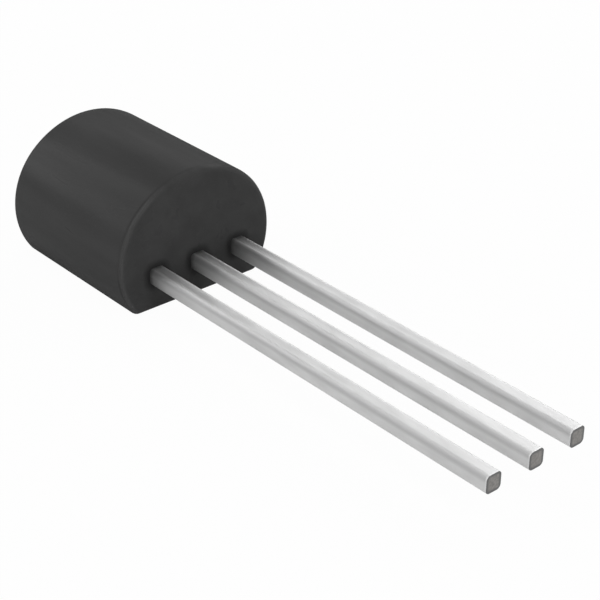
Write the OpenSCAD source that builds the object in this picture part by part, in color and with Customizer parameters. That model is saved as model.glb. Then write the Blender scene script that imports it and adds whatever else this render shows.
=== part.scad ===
// Shunt regulator in a three-lead moulded package, lying on its flat side.
// X runs across the lead row, Y from the lead tips to the far end of the body, Z up.
// The origin is the middle of the flat side. The leads leave the body towards -Y.

/* [Body] */
// Width of the body across its round side
body_w = 4.7; // [4.5:0.02:5]
// Depth of the body from the flat side to the crown
body_d = 3.47; // [3.35:0.01:3.65]
// Length of the body from the lead end to the far end
body_len = 4.9; // [4.8:0.05:5.3]
// Height above the flat side at which the body is widest
waist_h = 1.29; // [1.2:0.01:1.4]
// Angle above level at which the crown's curve hands over to the shoulder's
shoulder_angle = 48; // [38:1:58]
// Radius of the long corners between the shoulders and the flat side
corner_r = 0.22; // [0.2:0.01:0.34]
// Radius of the rim round the lead end
lead_rim_r = 0.18; // [0.08:0.01:0.19]
// Radius of the rim round the far end
far_rim_r = 0.18; // [0.08:0.01:0.19]

/* [Leads] */
// Distance between the middles of neighbouring leads
pitch = 1.27; // [1.24:0.01:1.32]
// Width of a lead across the row
lead_w = 0.43; // [0.38:0.01:0.48]
// Thickness of the sheet that the lead frame is stamped from
sheet_t = 0.45; // [0.38:0.01:0.48]
// Radius of the long edges of a lead outside the body
lead_edge_r = 0.11; // [0.03:0.01:0.15]
// Length of a lead outside the body
lead_free = 11.4; // [9.6:0.2:14.6]
// Height of the middle of the sheet above the flat side
sheet_h = 0.97; // [0.9:0.01:1.1]

/* [Lead frame inside the body] */
// Depth inside the body at which the outer leads widen into their bond posts
root_len = 0.8; // [0.6:0.05:0.95]
// Length of a bond post along the lead
post_len = 0.85; // [0.7:0.05:0.95]
// Width of a bond post
post_w = 0.72; // [0.6:0.02:0.8]
// Radius of the corners of the posts and the paddle
stamp_r = 0.1; // [0.05:0.01:0.15]
// Gap between the bond posts and the paddle
frame_gap = 0.28; // [0.2:0.02:0.34]
// Width of the paddle
paddle_w = 2.3; // [2:0.05:2.6]
// Length of the paddle
paddle_len = 1.75; // [1.6:0.05:1.9]
// Radius of the locking notches in the two sides of the paddle
notch_r = 0.16; // [0.1:0.01:0.2]
// Diameter of the locking hole in each lead's root
lock_d = 0.2; // [0.14:0.01:0.24]

/* [Chip and wires] */
// Width and length of the silicon die
die_w = 0.9; // [0.7:0.05:1.1]
// Thickness of the silicon die
die_t = 0.2; // [0.15:0.01:0.28]
// Thickness of the conductive epoxy under the die
attach_t = 0.025; // [0.015:0.005:0.05]
// How far the conductive epoxy reaches past the die's edges
attach_lip = 0.05; // [0.02:0.01:0.08]
// Diameter of a bond wire
wire_d = 0.03; // [0.025:0.005:0.05]
// Diameter of the ball bond at a wire's chip end, and of the stitch at its other end
bond_d = 0.09; // [0.08:0.01:0.12]
// Thickness of the ball and of the stitch
bond_t = 0.02; // [0.012:0.002:0.03]
// Height that a wire climbs above its ball before it turns over
wire_rise = 0.3; // [0.15:0.05:0.5]

/* [Hidden] */

ROUND = 96;        // sides asked of the sheet's round corners and holes
BOND_SIDES = 24;   // sides of a ball bond and of a stitch
ARC_STEP = 3;      // most degrees between two points of the body's outline
RIM_STEPS = 6;     // steps round each rim of the body
WIRE_SIDES = 8;    // sides of a bond wire's section
WIRE_STEPS = 14;   // steps along a bond wire

// Ends of the body and of the leads
lead_end_y = -body_len / 2;
far_end_y = body_len / 2;
tip_y = lead_end_y - lead_free;

// Section of the body: crown arc, two shoulder arcs tangent to it, two corner arcs
waist_half = body_w / 2;
crown_rise = body_d - waist_h;
shoulder_x = (waist_half - crown_rise)
    / (1 + tan(shoulder_angle) - 1 / cos(shoulder_angle));
shoulder_r = waist_half - shoulder_x;
crown_z = waist_h - shoulder_x * tan(shoulder_angle);
crown_r = body_d - crown_z;
corner_drop = waist_h - corner_r;
corner_x = shoulder_x + sqrt(pow(shoulder_r - corner_r, 2) - pow(corner_drop, 2));
corner_angle = atan2(-corner_drop, corner_x - shoulder_x);

// Lead frame: stations along the body
post_y = lead_end_y + root_len;
paddle_y = post_y + post_len + frame_gap;
paddle_mid_y = paddle_y + paddle_len / 2;
post_mid_y = post_y + post_len / 2;
post_mid_x = pitch + (post_w - lead_w) / 2;
lock_y = lead_end_y + root_len / 2;
sheet_top = sheet_h + sheet_t / 2;

// Chip: sits towards the leads, so that the down-bond has room behind it
die_edge = 0.2;                              // from the paddle's front edge to the die
die_y = paddle_y + die_edge + die_w / 2;
die_top = sheet_top + attach_t + die_t;
pad_in = 0.16;                               // from the die's edge to the middle of a bond pad
pad_reach = die_w / 2 - pad_in;
wire_r = wire_d / 2;
down_bond_y = (die_y + die_w / 2 + attach_lip + paddle_y + paddle_len) / 2;
wire_pull = 0.55;                            // how far back from its stitch a wire's last curve pulls

// ---- helpers ----

// Points of an arc about c, from angle a0 up to but not at a1
function arc(c, r, a0, a1) =
    let (n = ceil(abs(a1 - a0) / ARC_STEP))
    [for (i = [0 : n - 1]) let (a = a0 + (a1 - a0) * i / n) c + r * [cos(a), sin(a)]];

// Solid through a list of rings, each with the same number of points
module skin(rings) {
    n = len(rings[0]);
    last = len(rings) - 1;
    polyhedron(
        points = [for (ring = rings) each ring],
        faces = concat(
            [[for (i = [0 : n - 1]) i]],
            [for (k = [0 : last - 1], i = [0 : n - 1])
                [k * n + i, (k + 1) * n + i, (k + 1) * n + (i + 1) % n, k * n + (i + 1) % n]],
            [[for (i = [n - 1 : -1 : 0]) last * n + i]]
        ),
        convexity = 4
    );
}

// Extrudes an outline drawn in X and Z along Y, from y0 to y1
module along_y(y0, y1) {
    translate([0, y1, 0])
        rotate([90, 0, 0])
            linear_extrude(height = y1 - y0)
                children();
}

// Extrudes an outline drawn in X and Y through the thickness of the sheet
module stamped() {
    translate([0, 0, sheet_h - sheet_t / 2])
        linear_extrude(height = sheet_t)
            children();
}

// Rectangle with round corners, centred on the origin
module round_rect(size, r) {
    square([size[0] - 2 * r, size[1]], center = true);
    square([size[0], size[1] - 2 * r], center = true);
    for (sx = [-1, 1], sy = [-1, 1])
        translate([sx * (size[0] / 2 - r), sy * (size[1] / 2 - r)])
            circle(r = r, $fn = ROUND);
}

// ---- body ----

// Outline of the body in X and Z, moved inwards by inset, from the right-hand long corner
// over the crown to the left-hand one
function body_outline(inset) =
    let (
        half = concat(
            arc([corner_x, corner_r], corner_r - inset, -90, corner_angle),
            arc([shoulder_x, waist_h], shoulder_r - inset, corner_angle, shoulder_angle),
            arc([0, crown_z], crown_r - inset, shoulder_angle, 90)
        ),
        last = len(half) - 1
    )
    concat(
        half,
        [[0, body_d - inset]],
        [for (i = [last : -1 : 0]) [-half[i][0], half[i][1]]]
    );

// Ring round the body at y, moved inwards by inset
function body_ring(y, inset) = [for (p = body_outline(inset)) [p[0], y, p[1]]];

// Rings of a rim of radius r that rounds the end at y; way is +1 where the body lies towards +Y
function rim_rings(y, r, way) =
    [for (i = [0 : RIM_STEPS])
        let (a = 90 * i / RIM_STEPS)
        body_ring(y + way * r * (1 - cos(a)), r * (1 - sin(a)))];

// The moulded shape, before anything is taken out of it
module moulding() {
    far_rim = rim_rings(far_end_y, far_rim_r, -1);
    skin(concat(
        rim_rings(lead_end_y, lead_rim_r, 1),
        [for (i = [RIM_STEPS : -1 : 0]) far_rim[i]]
    ));
}

module moulded_body() {
    color([0.2, 0.2, 0.2])
        difference() {
            moulding();
            lead_anode();
            lead_cathode();
            lead_reference();
            silicon_die();
            die_attach();
            bond_wire_anode();
            bond_wire_cathode();
            bond_wire_reference();
        }
}

// ---- lead frame ----

// Straight lead with rounded long edges, from its cut tip to y1
module lead_bar(y1) {
    along_y(tip_y, y1)
        translate([0, sheet_h])
            round_rect([lead_w, sheet_t], lead_edge_r);
}

// Outer lead at +X: its bar, its bond post inside the body and the locking hole in its root
module outer_lead() {
    difference() {
        union() {
            translate([pitch, 0, 0])
                lead_bar(post_y + stamp_r);
            stamped()
                translate([post_mid_x, post_mid_y])
                    round_rect([post_w, post_len], stamp_r);
        }
        translate([pitch, lock_y, 0])
            cylinder(d = lock_d, h = body_d, $fn = ROUND);
    }
}

module lead_cathode() {
    color([0.78, 0.78, 0.77])
        mirror([1, 0, 0])
            outer_lead();
}

module lead_reference() {
    color([0.78, 0.78, 0.77])
        outer_lead();
}

// Middle lead: its bar runs on between the posts and widens into the paddle for the chip
module lead_anode() {
    color([0.78, 0.78, 0.77])
        difference() {
            union() {
                lead_bar(paddle_y + stamp_r);
                stamped()
                    difference() {
                        translate([0, paddle_mid_y])
                            round_rect([paddle_w, paddle_len], stamp_r);
                        for (side = [-1, 1])
                            translate([side * paddle_w / 2, paddle_mid_y])
                                circle(r = notch_r, $fn = ROUND);
                    }
            }
            translate([0, lock_y, 0])
                cylinder(d = lock_d, h = body_d, $fn = ROUND);
        }
}

// ---- chip ----

// Square slab on the die's place, size wide, from z0 up by t
module chip_slab(size, z0, t) {
    translate([-size / 2, die_y - size / 2, z0])
        cube([size, size, t]);
}

module silicon_die() {
    color([0.42, 0.43, 0.47])
        chip_slab(die_w, sheet_top + attach_t, die_t);
}

module die_attach() {
    color([0.72, 0.72, 0.7])
        chip_slab(die_w + 2 * attach_lip, sheet_top, attach_t);
}

// ---- bond wires ----

function bezier(p, t) =
    pow(1 - t, 3) * p[0] + 3 * pow(1 - t, 2) * t * p[1]
    + 3 * (1 - t) * pow(t, 2) * p[2] + pow(t, 3) * p[3];

function bezier_run(p, t) =
    pow(1 - t, 2) * (p[1] - p[0]) + 2 * (1 - t) * t * (p[2] - p[1])
    + pow(t, 2) * (p[3] - p[2]);

// Ring of a wire's section at t: the loop stands in one upright plane, whose side is flat_side
function wire_ring(p, t, side) =
    let (run = bezier_run(p, t), ahead = run / norm(run), over = cross(ahead, side))
    [for (i = [0 : WIRE_SIDES - 1])
        let (a = 360 * (i + 0.5) / WIRE_SIDES)
        bezier(p, t) + wire_r * (cos(a) * side + sin(a) * over)];

// Wire from the top of the ball at a to the stitch at b
module wire_loop(a, b) {
    level = [b[0] - a[0], b[1] - a[1], 0];
    side = cross(level, [0, 0, 1]) / norm(level);
    p = [a, a + [0, 0, wire_rise], b - wire_pull * level + [0, 0, wire_rise], b];
    skin([for (i = [0 : WIRE_STEPS]) wire_ring(p, i / WIRE_STEPS, side)]);
}

// Ball bond on the die at (x0, y0), its wire, and the stitch on the sheet at (x1, y1)
module bond_wire(x0, y0, x1, y1) {
    color([0.9, 0.74, 0.36]) {
        translate([x0, y0, die_top])
            cylinder(d = bond_d, h = bond_t, $fn = BOND_SIDES);
        translate([x1, y1, sheet_top])
            cylinder(d = bond_d, h = bond_t, $fn = BOND_SIDES);
        wire_loop([x0, y0, die_top + bond_t / 2], [x1, y1, sheet_top + wire_r]);
    }
}

module bond_wire_cathode() {
    bond_wire(-pad_reach, die_y - pad_reach, -post_mid_x, post_mid_y);
}

module bond_wire_reference() {
    bond_wire(pad_reach, die_y - pad_reach, post_mid_x, post_mid_y);
}

module bond_wire_anode() {
    bond_wire(0, die_y + pad_reach, 0, down_bond_y);
}

moulded_body();
lead_cathode();
lead_anode();
lead_reference();
silicon_die();
die_attach();
bond_wire_cathode();
bond_wire_anode();
bond_wire_reference();
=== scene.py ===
"""Looks of a shunt regulator in a three-lead moulded package, lying on its flat side.

The CAD nodes keep their shapes. This script gives each its material, rounds the sheared edges of
the lead frame, and adds the camera, a pale floor and soft studio light. Sizes and places are
written in millimetres and become Blender's metres with MM. Greys are linear.
"""
import math

import bpy
from mathutils import Matrix, Vector


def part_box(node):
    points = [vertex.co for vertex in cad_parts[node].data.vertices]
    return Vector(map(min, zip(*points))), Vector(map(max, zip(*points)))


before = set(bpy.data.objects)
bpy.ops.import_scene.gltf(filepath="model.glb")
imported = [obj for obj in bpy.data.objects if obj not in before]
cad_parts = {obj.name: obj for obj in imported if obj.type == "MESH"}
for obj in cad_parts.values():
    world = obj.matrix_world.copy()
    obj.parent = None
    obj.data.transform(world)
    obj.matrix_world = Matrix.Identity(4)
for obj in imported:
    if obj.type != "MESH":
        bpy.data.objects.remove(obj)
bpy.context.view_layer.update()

MM = 0.001

# ---- camera ----
CAMERA_AT = Vector((-21.522, -31.261, 20.002)) * MM
CAMERA_FORWARD = Vector((0.57039, 0.65903, -0.49024))
CAMERA_RIGHT = Vector((0.75871, -0.65140, 0.00707))
CAMERA_LENS = 96.69          # on a sensor CAMERA_SENSOR wide
CAMERA_SENSOR = 36
CAMERA_NEAR, CAMERA_FAR = 1, 10000

# ---- stations on the object, from the CAD parts and the leads' spacing ----
PITCH = 1.27
SIDE_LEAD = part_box("lead_reference")
TIP_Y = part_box("lead_anode")[0].y / MM
FACE_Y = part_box("moulded_body")[0].y / MM
LEAD_HALF = PITCH - SIDE_LEAD[0].x / MM
LEAD_BOTTOM, LEAD_TOP = SIDE_LEAD[0].z / MM, SIDE_LEAD[1].z / MM
LEAD_ROUND = 0.11            # radius of a lead's long edges
LEADS = ("lead_cathode", "lead_anode", "lead_reference")
WIRES = ("bond_wire_cathode", "bond_wire_anode", "bond_wire_reference")


def make_camera():
    """Camera at the photograph's viewpoint."""
    forward = CAMERA_FORWARD.normalized()
    up = CAMERA_RIGHT.cross(forward).normalized()
    right = forward.cross(up)
    data = bpy.data.cameras.new("view")
    data.sensor_width = CAMERA_SENSOR
    data.lens = CAMERA_LENS
    data.clip_start = CAMERA_NEAR * MM
    data.clip_end = CAMERA_FAR * MM
    camera = bpy.data.objects.new("view", data)
    turn = Matrix((right, up, -forward)).transposed()
    camera.matrix_world = Matrix.Translation(CAMERA_AT) @ turn.to_4x4()
    bpy.context.scene.collection.objects.link(camera)
    bpy.context.scene.camera = camera


make_camera()


# ---- node helpers ----

class Shader:
    """The node tree of a material or a world, built with short calls."""

    def __init__(self, owner, output="ShaderNodeOutputMaterial"):
        owner.use_nodes = True
        self.owner = owner
        self.tree = owner.node_tree
        self.tree.nodes.clear()
        self.output = self.add(output)

    def add(self, kind, values=None, **settings):
        """Adds a node, sets its properties, and sets or links its inputs by name or number."""
        node = self.tree.nodes.new(kind)
        for key, value in settings.items():
            setattr(node, key, value)
        for key, value in (values or {}).items():
            self.feed(node.inputs[key], value)
        return node

    def feed(self, socket, value):
        """Links a socket to another one, or sets it to a plain value."""
        if isinstance(value, bpy.types.NodeSocket):
            self.tree.links.new(value, socket)
        else:
            socket.default_value = value

    def place(self, stretch=(1, 1, 1)):
        """Object coordinates in millimetres, divided by stretch along each axis."""
        coords = self.add("ShaderNodeTexCoord").outputs["Object"]
        scale = tuple(1 / (MM * s) for s in stretch)
        return self.add("ShaderNodeMapping", {"Vector": coords, "Scale": scale}).outputs["Vector"]

    def axes(self):
        """Object coordinates in millimetres, as sockets named X, Y and Z."""
        return self.add("ShaderNodeSeparateXYZ", {0: self.place()}).outputs

    def noise(self, grain, stretch=(1, 1, 1), detail=2.0, rough=0.5):
        """Noise whose grain is about that many millimetres across."""
        where = self.place(stretch)
        values = {"Vector": where, "Scale": 1 / grain, "Detail": detail, "Roughness": rough}
        return self.add("ShaderNodeTexNoise", values).outputs["Fac"]

    def ramp(self, fac, low, high, at=(0.3, 0.7)):
        """Maps fac from the span at to the span from low to high. By default, at suits a noise."""
        values = {"Value": fac, "From Min": at[0], "From Max": at[1], "To Min": low, "To Max": high}
        return self.add("ShaderNodeMapRange", values).outputs["Result"]

    def math(self, operation, a, b=0.0):
        """Result of a Math node, whose second input counts only where the operation has one."""
        return self.add("ShaderNodeMath", {0: a, 1: b}, operation=operation).outputs[0]

    def times(self, a, b):
        return self.math("MULTIPLY", a, b)

    def blend(self, fac, a, b):
        """Colour a turned into colour b by fac."""
        node = self.add("ShaderNodeMix", data_type="RGBA")
        for name, value in (("Factor_Float", fac), ("A_Color", a), ("B_Color", b)):
            self.feed(next(s for s in node.inputs if s.identifier == name), value)
        return next(s for s in node.outputs if s.identifier == "Result_Color")

    def mottle(self, noise, dark, light):
        """Colour that wanders from dark to light with a noise."""
        return self.blend(self.ramp(noise, 0, 1), dark, light)

    def bump(self, height, depth, below=None):
        """Normal of a relief whose height from 0 to 1 is that many millimetres deep."""
        values = {"Height": height, "Strength": 1.0, "Distance": depth * MM}
        if below:
            values["Normal"] = below
        return self.add("ShaderNodeBump", values).outputs["Normal"]

    def surface(self, **values):
        """Finishes the material with a Principled shader and returns the material."""
        inputs = {key.replace("_", " "): value for key, value in values.items()}
        shader = self.add("ShaderNodeBsdfPrincipled", inputs)
        self.feed(self.output.inputs["Surface"], shader.outputs["BSDF"])
        return self.owner


def new_material(name):
    """Empty shader of a new material."""
    return Shader(bpy.data.materials.new(name))


def grey(value, warm=0.0):
    """Linear grey, with a little more red and less blue where warm is above 0."""
    return (value * (1 + warm), value, value * (1 - warm), 1.0)


# ---- distances from a lead ----

def across_lead(s, x):
    """Distance across the row from the nearest lead's middle."""
    from_middle = s.math("ABSOLUTE", x)
    from_side = s.math("ABSOLUTE", s.math("SUBTRACT", from_middle, PITCH))
    return s.math("MINIMUM", from_middle, from_side)


def beyond_lead(s, where):
    """Distance outside the nearest lead's round-cornered section, negative inside."""
    middle, half = (LEAD_TOP + LEAD_BOTTOM) / 2, (LEAD_TOP - LEAD_BOTTOM) / 2
    beside = s.math("SUBTRACT", across_lead(s, where["X"]), LEAD_HALF - LEAD_ROUND)
    above = s.math("ABSOLUTE", s.math("SUBTRACT", where["Z"], middle))
    above = s.math("SUBTRACT", above, half - LEAD_ROUND)
    outside = [s.math("MAXIMUM", side, 0.0) for side in (beside, above)]
    squares = [s.times(side, side) for side in outside]
    return s.math("SUBTRACT", s.math("SQRT", s.math("ADD", *squares)), LEAD_ROUND)


# ---- moulded epoxy ----
FLOW_MARKS = {"grain": 0.7, "stretch": (1, 8, 1), "detail": 3}
FLOW_GREYS = grey(0.040), grey(0.050)
SPECKS = {"grain": 0.045, "detail": 1}
SPECK_SPAN = (0.62, 0.8)           # part of the noise that makes specks
SPECK_SHARE = 0.25
SPECK_GREY = grey(0.07)
# Painted shade: the end face is darkened right around each lead.
LEAD_SHADE_FADE = (0.06, 0.22)           # distance from a lead over which the painted shade around it fades
LEAD_SHADE_SHARE = 0.58
LEAD_SHADE_GREY = grey(0.008)
FACE_SKIN = 0.02                   # what lies this near the end face's plane counts as the face
LINE_BEHIND_FACE = 0.048
LINE_HALF_WIDTH = 0.045
LINE_HEIGHT = 0.045
LINE_BREAKS = {"grain": 0.5}
LINE_BREAK_SPAN = (0.35, 0.6)
LINE_IN_BREAK = 0.1                # share of the line that is left in a break
LINE_SIDE_SPAN = (-1.5, -0.8)      # the line is strong below this stretch of X
LINE_FAR_SIDE = 0.2                # share of the line that is left beyond it
# Painted highlight: a lighter band along the rim beside the mould line.
RIM_HIGHLIGHT_FADE = (0.025, 0.07)          # distance from the line over which the painted highlight band fades
RIM_HIGHLIGHT_FROM_FACE = 0.035
RIM_HIGHLIGHT_IN_BREAK = 0.35
RIM_HIGHLIGHT_GREY = grey(0.074)
SHEEN_STREAKS = {"grain": 0.5, "stretch": (1, 7, 1)}
SHEEN_ROUGHNESS = (0.26, 0.34)
SLANT_SPAN = (0.45, 0.95)          # how far the skin turns away before it looks rougher
SLANT_ROUGHNESS = 0.4
SKIN_GRAIN = {"grain": 0.05, "detail": 3, "rough": 0.6}
SKIN_DEPTH = 0.0022
EPOXY_SPECULAR = 0.04


def lead_shade_mask(s, where):
    """1 on the end face right beside a lead, fading to 0 a little way out: where shade is painted
    around the lead.
    """
    near = s.ramp(beyond_lead(s, where), 1, 0, at=LEAD_SHADE_FADE)
    return s.times(near, s.math("LESS_THAN", where["Y"], FACE_Y + FACE_SKIN))


def mould_line(s, where):
    """Height of the broken line along the rim at the lead end, and the painted highlight band
    beside it.
    """
    away = s.math("ABSOLUTE", s.math("SUBTRACT", where["Y"], FACE_Y + LINE_BEHIND_FACE))
    ridge = s.ramp(away, 1, 0, at=(0.0, LINE_HALF_WIDTH))
    band = s.ramp(away, 1, 0, at=RIM_HIGHLIGHT_FADE)
    band = s.times(band, s.ramp(where["Y"], 0, 1, at=(FACE_Y, FACE_Y + RIM_HIGHLIGHT_FROM_FACE)))
    broken = s.ramp(s.noise(**LINE_BREAKS), LINE_IN_BREAK, 1, at=LINE_BREAK_SPAN)
    side = s.ramp(where["X"], 1, LINE_FAR_SIDE, at=LINE_SIDE_SPAN)
    height = s.times(ridge, s.times(broken, side))
    rim_highlight = s.times(band, s.times(side, s.ramp(broken, RIM_HIGHLIGHT_IN_BREAK, 1, at=(0, 1))))
    return height, rim_highlight


def epoxy_material():
    s = new_material("moulded_epoxy")
    where = s.axes()
    specks = s.ramp(s.noise(**SPECKS), 0, SPECK_SHARE, at=SPECK_SPAN)
    height, rim_highlight = mould_line(s, where)
    colour = s.mottle(s.noise(**FLOW_MARKS), *FLOW_GREYS)
    colour = s.blend(specks, colour, SPECK_GREY)
    # painted shade on the end face around each lead
    colour = s.blend(s.times(lead_shade_mask(s, where), LEAD_SHADE_SHARE), colour, LEAD_SHADE_GREY)
    # painted highlight along the rim beside the mould line
    colour = s.blend(rim_highlight, colour, RIM_HIGHLIGHT_GREY)
    streaks = s.ramp(s.noise(**SHEEN_STREAKS), *SHEEN_ROUGHNESS)
    slant = s.add("ShaderNodeLayerWeight", {"Blend": 0.5}).outputs["Facing"]
    rough = s.math("ADD", streaks, s.ramp(slant, 0.0, SLANT_ROUGHNESS, at=SLANT_SPAN))
    line = s.bump(height, LINE_HEIGHT)
    skin = s.bump(s.noise(**SKIN_GRAIN), SKIN_DEPTH, below=line)
    return s.surface(
        Base_Color=colour, Roughness=rough, Normal=skin, Specular_IOR_Level=EPOXY_SPECULAR
    )


# ---- matt tin, and the copper alloy bared at each cut tip ----
TIN_CLOUDS = {"grain": 0.25, "stretch": (1, 4, 1), "detail": 3}
TIN_GREYS = grey(0.67), grey(0.77)
TIN_ROUGHNESS = (0.56, 0.64)
EDGE_SHADE_SIDE_SPAN = (LEAD_HALF - 0.075, LEAD_HALF - 0.03)    # painted shade on the upper long edges
EDGE_SHADE_TOP_SPAN = (LEAD_TOP - 0.18, LEAD_TOP - 0.06)
EDGE_SHADE_GREY = grey(0.525)
ROOT_SHADE_SPAN = (FACE_Y - 2.4, FACE_Y - 0.2)                  # painted shade: the tin is darker towards the body
ROOT_SHADE_SHARE = 0.55
ROOT_SHADE_GREY = grey(0.02)
SHADE_SPAN = (FACE_Y - 0.16, FACE_Y)                      # painted shade, darkest right at the body
SHADE_SHARE = 0.6
TIP_SKIN = 0.004                   # what lies this near the tips' plane counts as the cut
CUT_MARKS = {"grain": 0.06}
CUT_GREYS = grey(0.26, warm=0.03), grey(0.37, warm=0.04)
OUTLINE_SPAN = (-0.075, -0.04)     # the cut's dark outline, measured from the lead's section
OUTLINE_GREY = grey(0.21)
TIP_HIGHLIGHT_SPAN = (TIP_Y + 0.01, TIP_Y + 0.05)                  # painted highlight: a bright ring right behind the cut
TIP_HIGHLIGHT_GREY = grey(0.82)
WAVES = {"grain": 0.3, "stretch": (1, 3, 1)}
WAVE_DEPTH = 0.008
DRAW_LINES = {"grain": 0.06, "stretch": (1, 16, 1)}
DRAW_DEPTH = 0.002
TIN_GRAIN = {"grain": 0.03}
TIN_GRAIN_DEPTH = 0.0008


def tin_material():
    s = new_material("matt_tin")
    where = s.axes()
    clouds = s.noise(**TIN_CLOUDS)
    plated = s.mottle(clouds, *TIN_GREYS)
    outer = s.ramp(across_lead(s, where["X"]), 0, 1, at=EDGE_SHADE_SIDE_SPAN)
    upper = s.ramp(where["Z"], 0, 1, at=EDGE_SHADE_TOP_SPAN)
    # painted shade on the upper long edges of each lead
    plated = s.blend(s.times(outer, upper), plated, EDGE_SHADE_GREY)
    # painted shade on each lead towards the body, darkest right at it
    root_shade = s.ramp(where["Y"], 0, 1, at=ROOT_SHADE_SPAN)
    plated = s.blend(s.times(root_shade, root_shade), plated, s.blend(ROOT_SHADE_SHARE, plated, ROOT_SHADE_GREY))
    plated = s.blend(s.ramp(where["Y"], 0, SHADE_SHARE, at=SHADE_SPAN), plated, ROOT_SHADE_GREY)
    # painted highlight in a ring right behind each cut tip
    plated = s.blend(s.ramp(where["Y"], 1, 0, at=TIP_HIGHLIGHT_SPAN), plated, TIP_HIGHLIGHT_GREY)
    cut = s.mottle(s.noise(**CUT_MARKS), *CUT_GREYS)
    cut = s.blend(s.ramp(beyond_lead(s, where), 0, 1, at=OUTLINE_SPAN), cut, OUTLINE_GREY)
    colour = s.blend(s.math("LESS_THAN", where["Y"], TIP_Y + TIP_SKIN), plated, cut)
    waves = s.bump(s.noise(**WAVES), WAVE_DEPTH)
    drawn = s.bump(s.noise(**DRAW_LINES), DRAW_DEPTH, below=waves)
    grain = s.bump(s.noise(**TIN_GRAIN), TIN_GRAIN_DEPTH, below=drawn)
    rough = s.ramp(clouds, *TIN_ROUGHNESS)
    return s.surface(Base_Color=colour, Metallic=1.0, Roughness=rough, Normal=grain)


# ---- materials inside the body ----
SILICON_TINTS = (0.12, 0.13, 0.17, 1), (0.2, 0.21, 0.25, 1)
SILICON_METAL = 0.6
SILICON_ROUGHNESS = (0.12, 0.22)
FLAKES = {"grain": 0.02, "detail": 1}
FLAKE_GREYS = grey(0.42), grey(0.68)
FLAKE_METAL = 0.7
FLAKE_ROUGHNESS = (0.35, 0.6)
FLAKE_DEPTH = 0.002
GOLD_TINTS = (0.86, 0.6, 0.22, 1), (0.95, 0.72, 0.32, 1)
GOLD_ROUGHNESS = (0.18, 0.3)


def silicon_material():
    s = new_material("silicon")
    tint = s.mottle(s.noise(grain=0.2), *SILICON_TINTS)
    rough = s.ramp(s.noise(grain=0.1), *SILICON_ROUGHNESS)
    return s.surface(Base_Color=tint, Metallic=SILICON_METAL, Roughness=rough)


def silver_epoxy_material():
    s = new_material("silver_epoxy")
    flakes = s.noise(**FLAKES)
    tint = s.mottle(flakes, *FLAKE_GREYS)
    rough = s.ramp(flakes, *FLAKE_ROUGHNESS)
    skin = s.bump(flakes, FLAKE_DEPTH)
    return s.surface(Base_Color=tint, Metallic=FLAKE_METAL, Roughness=rough, Normal=skin)


def gold_material():
    s = new_material("gold_wire")
    drawn = s.noise(grain=0.01)
    tint = s.mottle(drawn, *GOLD_TINTS)
    return s.surface(Base_Color=tint, Metallic=1.0, Roughness=s.ramp(drawn, *GOLD_ROUGHNESS))


# ---- pieces ----
SMOOTH_ANGLE = math.radians(28)    # edges blunter than this are shaded smooth
FLAT_ANGLE = math.radians(0.5)     # faces flatter to each other than this are joined
SHARP_ANGLE = math.radians(50)     # edges sharper than this are rounded
EDGE_STEPS = 3
WELD_DISTANCE = 0.0002
LEAD_EDGE = 0.045
DIE_EDGE = 0.004
ATTACH_EDGE = 0.008


def smooth_group(name, angle):
    """Geometry nodes that shade a mesh smooth except at edges sharper than angle."""
    tree = bpy.data.node_groups.new(name, "GeometryNodeTree")
    tree.interface.new_socket("Geometry", in_out="INPUT", socket_type="NodeSocketGeometry")
    tree.interface.new_socket("Geometry", in_out="OUTPUT", socket_type="NodeSocketGeometry")
    nodes, links = tree.nodes, tree.links
    start, end = nodes.new("NodeGroupInput"), nodes.new("NodeGroupOutput")
    faces = nodes.new("GeometryNodeSetShadeSmooth")
    edges = nodes.new("GeometryNodeSetShadeSmooth")
    edges.domain = "EDGE"
    turn = nodes.new("GeometryNodeInputMeshEdgeAngle")
    blunt = nodes.new("FunctionNodeCompare")
    blunt.operation = "LESS_EQUAL"
    blunt.inputs[1].default_value = angle
    links.new(start.outputs[0], faces.inputs["Geometry"])
    links.new(faces.outputs[0], edges.inputs["Geometry"])
    links.new(turn.outputs["Unsigned Angle"], blunt.inputs[0])
    links.new(blunt.outputs[0], edges.inputs["Shade Smooth"])
    links.new(edges.outputs[0], end.inputs[0])
    return tree


SMOOTH = smooth_group("smooth_by_angle", SMOOTH_ANGLE)


def finish_node(name, material, edge_radius=0.0):
    """Gives a CAD node its material, one clean skin and, where asked, rounded sharp edges."""
    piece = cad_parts[name]
    # Normals stored with the mesh would hide the shading that is set below.
    normals = piece.data.attributes.get("custom_normal")
    if normals:
        piece.data.attributes.remove(normals)
    for slot in piece.material_slots:
        slot.material = material
    weld = piece.modifiers.new("weld", "WELD")
    weld.merge_threshold = WELD_DISTANCE * MM
    flat = piece.modifiers.new("flat_faces", "DECIMATE")
    flat.decimate_type = "DISSOLVE"
    flat.angle_limit = FLAT_ANGLE
    if edge_radius:
        bevel = piece.modifiers.new("edges", "BEVEL")
        bevel.width = edge_radius * MM
        bevel.segments = EDGE_STEPS
        bevel.limit_method = "ANGLE"
        bevel.angle_limit = SHARP_ANGLE
    smooth = piece.modifiers.new("smooth", "NODES")
    smooth.node_group = SMOOTH


TIN = tin_material()
GOLD = gold_material()
finish_node("moulded_body", epoxy_material())
for lead in LEADS:
    finish_node(lead, TIN, LEAD_EDGE)
finish_node("silicon_die", silicon_material(), DIE_EDGE)
finish_node("die_attach", silver_epoxy_material(), ATTACH_EDGE)
for wire in WIRES:
    finish_node(wire, GOLD)


# ---- floor and world ----
FLOOR_HALF = 300
FLOOR_ALBEDO = 0.72
WORLD_LEVEL = 0.24
WHITE = grey(1.0)
# Shares of plain white that the camera sees. The rest of the floor is lit and keeps the shadow.
FLOOR_WHITE_IN_VIEW = 0.97
WORLD_WHITE_IN_VIEW = 1.0
# Share of plain white that mirrored and refracted rays see in both.
WHITE_IN_GLOSS = 0.15


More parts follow.
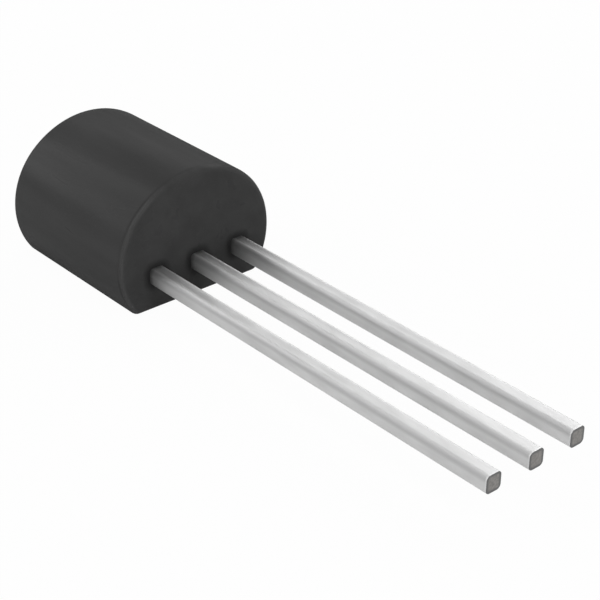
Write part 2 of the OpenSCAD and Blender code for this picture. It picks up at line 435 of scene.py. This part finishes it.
def white_share(s, in_view):
    """Socket with the share of plain white for each kind of ray, 0 for those that only light."""
    path = s.add("ShaderNodeLightPath").outputs
    mirrored = s.math("MAXIMUM", path["Is Glossy Ray"], path["Is Transmission Ray"])
    seen = s.times(path["Is Camera Ray"], in_view)
    return s.math("MAXIMUM", seen, s.times(mirrored, WHITE_IN_GLOSS))


def mix_to_output(s, share, plain, white):
    """Feeds the tree's output with the plain shader, and with the white one by that share."""
    mix = s.add("ShaderNodeMixShader", {0: share, 1: plain.outputs[0], 2: white.outputs[0]})
    s.feed(s.output.inputs["Surface"], mix.outputs[0])


def make_floor():
    s = new_material("pale_floor")
    matt = s.add("ShaderNodeBsdfDiffuse", {"Color": grey(FLOOR_ALBEDO)})
    white = s.add("ShaderNodeEmission", {"Color": WHITE, "Strength": 1.0})
    mix_to_output(s, white_share(s, FLOOR_WHITE_IN_VIEW), matt, white)
    mesh = bpy.data.meshes.new("floor")
    half = FLOOR_HALF * MM
    corners = [(-half, -half, 0), (half, -half, 0), (half, half, 0), (-half, half, 0)]
    mesh.from_pydata(corners, [], [(0, 1, 2, 3)])
    mesh.materials.append(s.owner)
    floor = bpy.data.objects.new("floor", mesh)
    bpy.context.scene.collection.objects.link(floor)


def make_world():
    world = bpy.data.worlds.new("studio")
    s = Shader(world, output="ShaderNodeOutputWorld")
    studio = s.add("ShaderNodeBackground", {"Color": WHITE, "Strength": WORLD_LEVEL})
    white = s.add("ShaderNodeBackground", {"Color": WHITE, "Strength": 1.0})
    mix_to_output(s, white_share(s, WORLD_WHITE_IN_VIEW), studio, white)
    bpy.context.scene.world = world


# ---- soft boxes round the object ----
# Each has a station along Y, its angle round the leads from +X up to +Z, its width across that
# angle, and the radiance of its face.
BOX_DISTANCE = 120
BACK = {"middle": 185, "length": 270}
SIDE = {"middle": 0, "length": 100}
FRONT = {"middle": -150, "length": 200}
SOFT_BOXES = {
    "back_right": (BACK, 37, 50, 0.95),
    "back_top": (BACK, 116, 84, 2.4),
    "back_left": (BACK, 150, 50, 2.6),
    "right": (SIDE, 38, 60, 2.75),
    "front_right": (FRONT, 14, 50, 1.5),
    "front_top": (FRONT, 90, 55, 2.4),
    "front_left": (FRONT, 152, 100, 2.3),
}


def soft_box(name, station, angle, width, level):
    """Area light at a station, aimed square at the line through the object along Y."""
    data = bpy.data.lights.new(name, "AREA")
    data.shape = "RECTANGLE"
    data.size, data.size_y = width * MM, station["length"] * MM
    data.energy = level * math.pi * data.size * data.size_y
    turn = math.radians(angle)
    back = Vector((math.cos(turn), 0, math.sin(turn)))
    along = Vector((0, 1, 0))
    facing = Matrix((along.cross(back), along, back)).transposed()
    at = (back * BOX_DISTANCE + along * station["middle"]) * MM
    light = bpy.data.objects.new(name, data)
    light.matrix_world = Matrix.Translation(at) @ facing.to_4x4()
    bpy.context.scene.collection.objects.link(light)


make_floor()
make_world()
for name, (station, angle, width, level) in SOFT_BOXES.items():
    soft_box(name, station, angle, width, level)

bpy.context.scene.view_settings.view_transform = "Standard"
